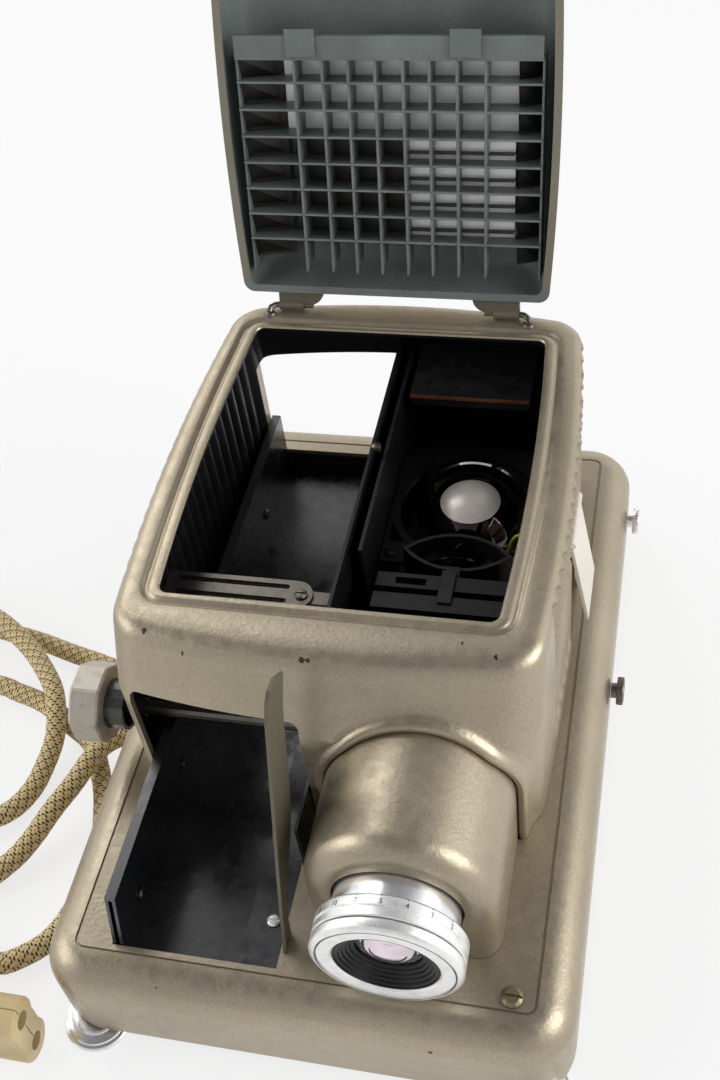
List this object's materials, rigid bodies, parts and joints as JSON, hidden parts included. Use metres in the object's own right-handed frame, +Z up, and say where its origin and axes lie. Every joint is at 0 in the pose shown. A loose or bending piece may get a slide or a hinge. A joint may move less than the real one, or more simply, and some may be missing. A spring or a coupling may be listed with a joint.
{
  "type": "slide projector",
  "caption": "Tabletop slide projector with a cast housing, focusing lens, slide magazine track, pull-out slide changer, hinged lid open over the lamp house, and a loose mains lead.",
  "frame": {"origin": "on the table, under the middle of the box round the projector as it stands with its lid open, without its lead", "axes": "+Z up, +Y from the lens towards the rear where the lid is hinged, +X towards the lens side, away from the magazine track"},
  "size_m": [0.5402, 0.3543, 0.3061],
  "materials": {
    "enamel": "hammered grey olive enamel",
    "black_paint": "semi-gloss black paint",
    "inner_black": "matt black paint",
    "olive_paint": "dark olive paint",
    "lid_grey": "matt grey paint",
    "chrome": "polished chrome plate",
    "satin_metal": "satin, turned",
    "steel": "bare steel",
    "knob_grey": "grey anodised",
    "glass": "clear, coated",
    "mirror_silver": "silvered",
    "bakelite": "moulded black",
    "beige_moulding": "moulded beige",
    "braid": "cream cotton braid with dark ticks",
    "wire_insulation": "yellow-green sleeve",
    "rubber": "black rubber"
  },
  "bodies": {
    "base": {"base_shell": "enamel", "base_bottom_plate": "steel", "base_top_screw": "satin_metal", "foot_rear_left": "rubber", "foot_rear_right": "rubber", "inlet_body": "bakelite", "track": "black_paint", "track_right_rail": "black_paint", "track_wall_screw_1": "steel", "track_wall_screw_2": "steel", "track_wall_screw_3": "steel", "shelf_screw": "satin_metal", "guide_blade": "olive_paint", "housing_shell": "enamel", "divider": "inner_black", "lamp_house_sheet": "inner_black", "changer_guide_plate": "satin_metal", "changer_guide_screw": "steel", "lens_shroud": "enamel", "lens_sleeve": "black_paint", "gate_frame": "inner_black", "condenser_holder": "steel", "condenser_lens": "glass", "condenser_strap": "steel", "lamp_plate": "inner_black", "lamp_plate_screw": "steel", "lamp_socket": "bakelite", "lamp_bulb": "glass", "lamp_wire": "wire_insulation", "mirror": "mirror_silver", "heat_shelf": "steel", "hinge_pin_left": "chrome", "hinge_pin_right": "chrome", "appliance_connector": "beige_moulding", "cord": "braid", "cord_coil": "braid", "mains_plug": "beige_moulding"},
    "lid": {"lid_shell": "enamel", "lid_baffle": "lid_grey", "lid_clip_left": "steel", "lid_clip_right": "steel", "hinge_lug_left": "olive_paint", "hinge_lug_right": "olive_paint"},
    "lens": {"lens_barrel": "chrome", "lens_front_ring": "satin_metal", "lens_inner_cone": "black_paint", "lens_front_glass": "glass", "lens_rear_glass": "glass"},
    "focus_ring": {"lens_focus_ring": "satin_metal"},
    "changer": {"changer_slider": "steel", "changer_collar": "black_paint", "changer_knob": "knob_grey"},
    "flap": {"vent_flap": "enamel"},
    "foot_left": {"foot_front_left_stem": "steel"},
    "foot_left_wheel": {"foot_front_left_wheel": "chrome"},
    "foot_right": {"foot_front_right_stem": "steel"},
    "foot_right_wheel": {"foot_front_right_wheel": "chrome"},
    "thumbscrew_front": {"side_thumbscrew_front": "knob_grey"},
    "thumbscrew_rear": {"side_thumbscrew_rear": "satin_metal"}
  },
  "joints": [
    {"name": "lid_hinge", "type": "hinge", "parent": "base", "child": "lid", "pos_m": [-0.0044, 0.11102, 0.1412], "axis": [1, 0, 0], "range_deg": [0, 105.4]},
    {"name": "lens_slide", "type": "slide", "parent": "base", "child": "lens", "axis": [0, -1, 0], "range_m": [-0.008, 0.006]},
    {"name": "focus_ring_turn", "type": "hinge", "parent": "lens", "child": "focus_ring", "pos_m": [0.0363, -0.1472, 0.082], "axis": [0, -1, 0], "range_deg": [-245, 185]},
    {"name": "changer_pull", "type": "slide", "parent": "base", "child": "changer", "axis": [-1, 0, 0], "range_m": [0, 0.053]},
    {"name": "vent_flap_hinge", "type": "hinge", "parent": "base", "child": "flap", "pos_m": [0.0812, 0.02052, 0.1142], "axis": [0, 1, 0], "range_deg": [-35, 9]},
    {"name": "foot_left_wheel_turn", "type": "hinge", "parent": "foot_left", "child": "foot_left_wheel", "pos_m": [-0.085, -0.15878, 0.003], "axis": [0, 0, 1], "range_deg": [0, 1728]},
    {"name": "foot_left_rise", "type": "slide", "parent": "base", "child": "foot_left", "axis": [0, 0, -1], "range_m": [0, 0.0061]},
    {"name": "foot_right_wheel_turn", "type": "hinge", "parent": "foot_right", "child": "foot_right_wheel", "pos_m": [0.085, -0.15878, 0.003], "axis": [0, 0, 1], "range_deg": [0, 1728]},
    {"name": "foot_right_rise", "type": "slide", "parent": "base", "child": "foot_right", "axis": [0, 0, -1], "range_m": [0, 0.0061]},
    {"name": "thumbscrew_front_turn", "type": "hinge", "parent": "base", "child": "thumbscrew_front", "pos_m": [0.102, -0.00148, 0.035], "axis": [1, 0, 0], "continuous": true},
    {"name": "thumbscrew_rear_turn", "type": "hinge", "parent": "base", "child": "thumbscrew_rear", "pos_m": [0.102, 0.09552, 0.035], "axis": [1, 0, 0], "continuous": true}
  ],
  "couplings": [
    {"joint": "focus_ring_turn", "follows": "lens_slide", "rad_per_m": 523.6},
    {"joint": "foot_left_rise", "follows": "foot_left_wheel_turn", "m_per_rad": 0.00019894},
    {"joint": "foot_right_rise", "follows": "foot_right_wheel_turn", "m_per_rad": 0.00019894}
  ]
}
